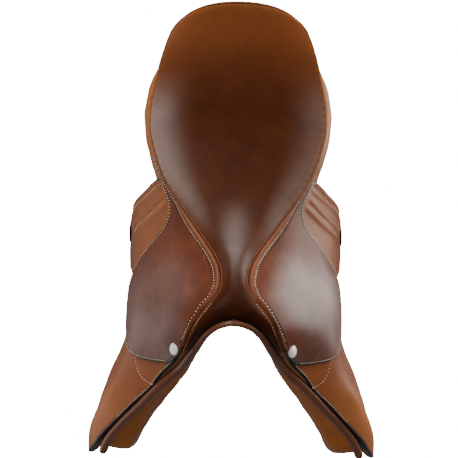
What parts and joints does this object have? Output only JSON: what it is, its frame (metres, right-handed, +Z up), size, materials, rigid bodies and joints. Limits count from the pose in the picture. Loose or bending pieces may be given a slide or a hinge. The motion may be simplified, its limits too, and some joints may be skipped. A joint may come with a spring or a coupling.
{
  "type": "close contact saddle",
  "caption": "English close contact saddle with a tree, foam seat, lifting skirts and flaps, stirrup bars with catches, girth straps and foam panels.",
  "frame": {"origin": "on the symmetry plane at the level of the horse's back, under the lowest point of the seat", "axes": "-Y towards the pommel, +X to the rider's left, +Z up"},
  "size_m": [0.3744, 0.498, 0.4432],
  "materials": {
    "seat_leather": "smooth burnished calf, satin",
    "skirt_leather": "smooth waxed bridle leather, satin",
    "flap_leather": "smooth calf over bridle leather, satin",
    "panel_leather": "soft calf, matt satin",
    "strap_leather": "waxed strap leather",
    "foam": "latex foam, matt",
    "web": "woven cotton and linen web",
    "wood": "laminated beech, sealed",
    "steel": "dull forged steel",
    "pewter": "polished pewter"
  },
  "bodies": {
    "saddle": {"billet_web_left": "web", "billet_web_right": "web", "cantle_facing": "seat_leather", "catch_pin_left": "steel", "catch_pin_right": "steel", "flap_top_left": "flap_leather", "flap_top_right": "flap_leather", "front_roll": "panel_leather", "head_plate": "steel", "knee_block_left": "panel_leather", "knee_block_right": "panel_leather", "nail_left": "pewter", "nail_right": "pewter", "panel_left": "panel_leather", "panel_right": "panel_leather", "point_pocket_left": "strap_leather", "point_pocket_right": "strap_leather", "seat_cover": "seat_leather", "seat_foam": "foam", "seat_web": "web", "seat_welt": "seat_leather", "skirt_roll_left": "skirt_leather", "skirt_roll_right": "skirt_leather", "stirrup_bar_left": "steel", "stirrup_bar_right": "steel", "sweat_flap_left": "panel_leather", "sweat_flap_right": "panel_leather", "thigh_block_left": "panel_leather", "thigh_block_right": "panel_leather", "tree_frame": "wood", "tree_head": "wood", "tree_spring_left": "steel", "tree_spring_right": "steel"},
    "flap_left": {"flap_left": "flap_leather", "leather_keeper_left": "strap_leather"},
    "skirt_left": {"skirt_left": "skirt_leather"},
    "bar_catch_left": {"bar_catch_left": "steel"},
    "billet_front_left": {"billet_front_left": "strap_leather"},
    "billet_rear_left": {"billet_rear_left": "strap_leather"},
    "buckle_guard_left": {"buckle_guard_left": "strap_leather", "guard_loop_left": "strap_leather"},
    "flap_right": {"flap_right": "flap_leather", "leather_keeper_right": "strap_leather"},
    "skirt_right": {"skirt_right": "skirt_leather"},
    "bar_catch_right": {"bar_catch_right": "steel"},
    "billet_front_right": {"billet_front_right": "strap_leather"},
    "billet_rear_right": {"billet_rear_right": "strap_leather"},
    "buckle_guard_right": {"buckle_guard_right": "strap_leather", "guard_loop_right": "strap_leather"}
  },
  "joints": [
    {"name": "flap_lift_left", "type": "hinge", "parent": "saddle", "child": "flap_left", "pos_m": [0.145, -0.08, -0.038], "axis": [0, -1, 0], "range_deg": [0, 75]},
    {"name": "flap_lift_right", "type": "hinge", "parent": "saddle", "child": "flap_right", "pos_m": [-0.145, -0.08, -0.038], "axis": [0, 1, 0], "range_deg": [0, 75]},
    {"name": "skirt_lift_left", "type": "hinge", "parent": "saddle", "child": "skirt_left", "pos_m": [0.084, -0.205, 0.046], "axis": [-0.0312, -0.9896, -0.1406], "range_deg": [0, 50]},
    {"name": "skirt_lift_right", "type": "hinge", "parent": "saddle", "child": "skirt_right", "pos_m": [-0.084, -0.205, 0.046], "axis": [-0.0312, 0.9896, 0.1406], "range_deg": [0, 50]},
    {"name": "catch_swing_left", "type": "hinge", "parent": "saddle", "child": "bar_catch_left", "pos_m": [0.0856, -0.05967, 0.01929], "axis": [-0.5927, -0.0638, 0.8029], "range_deg": [0, 75]},
    {"name": "catch_swing_right", "type": "hinge", "parent": "saddle", "child": "bar_catch_right", "pos_m": [-0.0856, -0.05967, 0.01929], "axis": [-0.5927, 0.0638, -0.8029], "range_deg": [0, 75]},
    {"name": "billet_front_swing_left", "type": "hinge", "parent": "saddle", "child": "billet_front_left", "pos_m": [0.08755, -0.04299, 0.01388], "axis": [0.8252, -0.0999, 0.5559], "range_deg": [-3, 3]},
    {"name": "billet_front_swing_right", "type": "hinge", "parent": "saddle", "child": "billet_front_right", "pos_m": [-0.08755, -0.04299, 0.01388], "axis": [0.8252, 0.0999, -0.5559], "range_deg": [-3, 3]},
    {"name": "billet_rear_swing_left", "type": "hinge", "parent": "saddle", "child": "billet_rear_left", "pos_m": [0.09655, 0.0001, 0.01532], "axis": [0.8611, -0.1547, 0.4843], "range_deg": [-3, 5]},
    {"name": "billet_rear_swing_right", "type": "hinge", "parent": "saddle", "child": "billet_rear_right", "pos_m": [-0.09655, 0.0001, 0.01532], "axis": [0.8611, 0.1547, -0.4843], "range_deg": [-3, 5]},
    {"name": "guard_slide_left", "type": "slide", "parent": "billet_front_left", "child": "buckle_guard_left", "axis": [0.1513, -0.0045, -0.9885], "range_m": [0, 0.04]},
    {"name": "guard_slide_right", "type": "slide", "parent": "billet_front_right", "child": "buckle_guard_right", "axis": [-0.1513, -0.0045, -0.9885], "range_m": [0, 0.04]}
  ]
}
